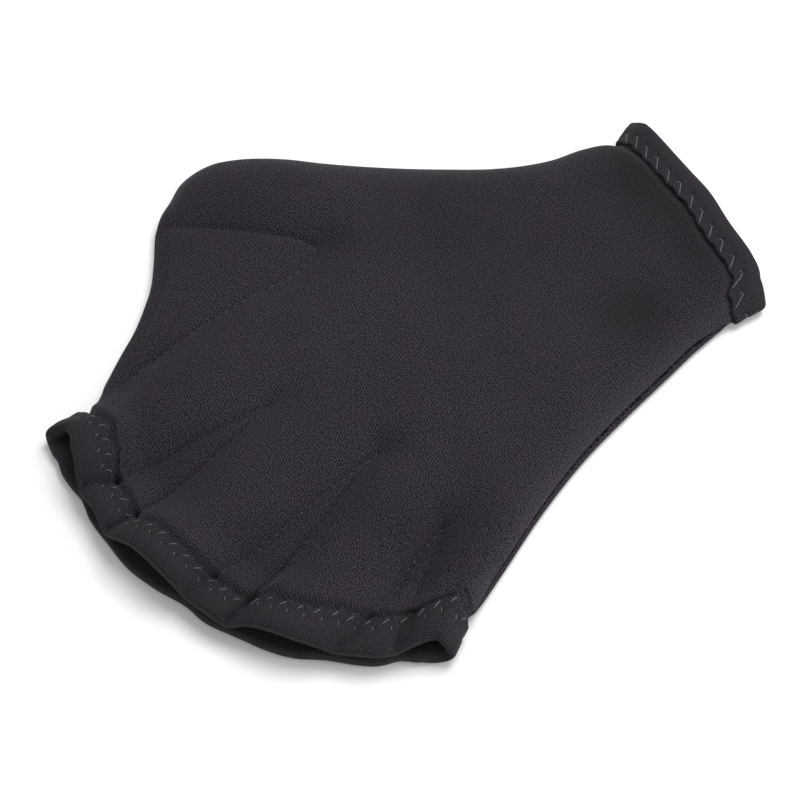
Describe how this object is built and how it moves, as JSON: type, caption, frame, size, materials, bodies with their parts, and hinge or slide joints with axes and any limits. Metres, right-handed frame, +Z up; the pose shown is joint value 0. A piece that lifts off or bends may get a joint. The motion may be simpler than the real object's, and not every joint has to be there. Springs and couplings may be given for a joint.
{
  "type": "webbed swim glove",
  "caption": "Fingerless swim glove of neoprene lying flat, with webs between thumb and fingers, a closed thumb, open fingertips and taped edges, worn to widen a swimming hand",
  "frame": {"origin": "middle of the glove's outline, on the surface that it lies on", "axes": "+X towards the thumb, +Y from the cuff to the fingertips, +Z up from the surface"},
  "size_m": [0.1725, 0.2136, 0.0143],
  "materials": {
    "neoprene": "matte charcoal knit over foam rubber",
    "binding_tape": "matte charcoal woven tape"
  },
  "bodies": {
    "root": {"upper_panel": "neoprene", "lower_panel": "neoprene", "cuff_binding": "binding_tape", "fingertip_binding": "binding_tape"}
  },
  "joints": []
}
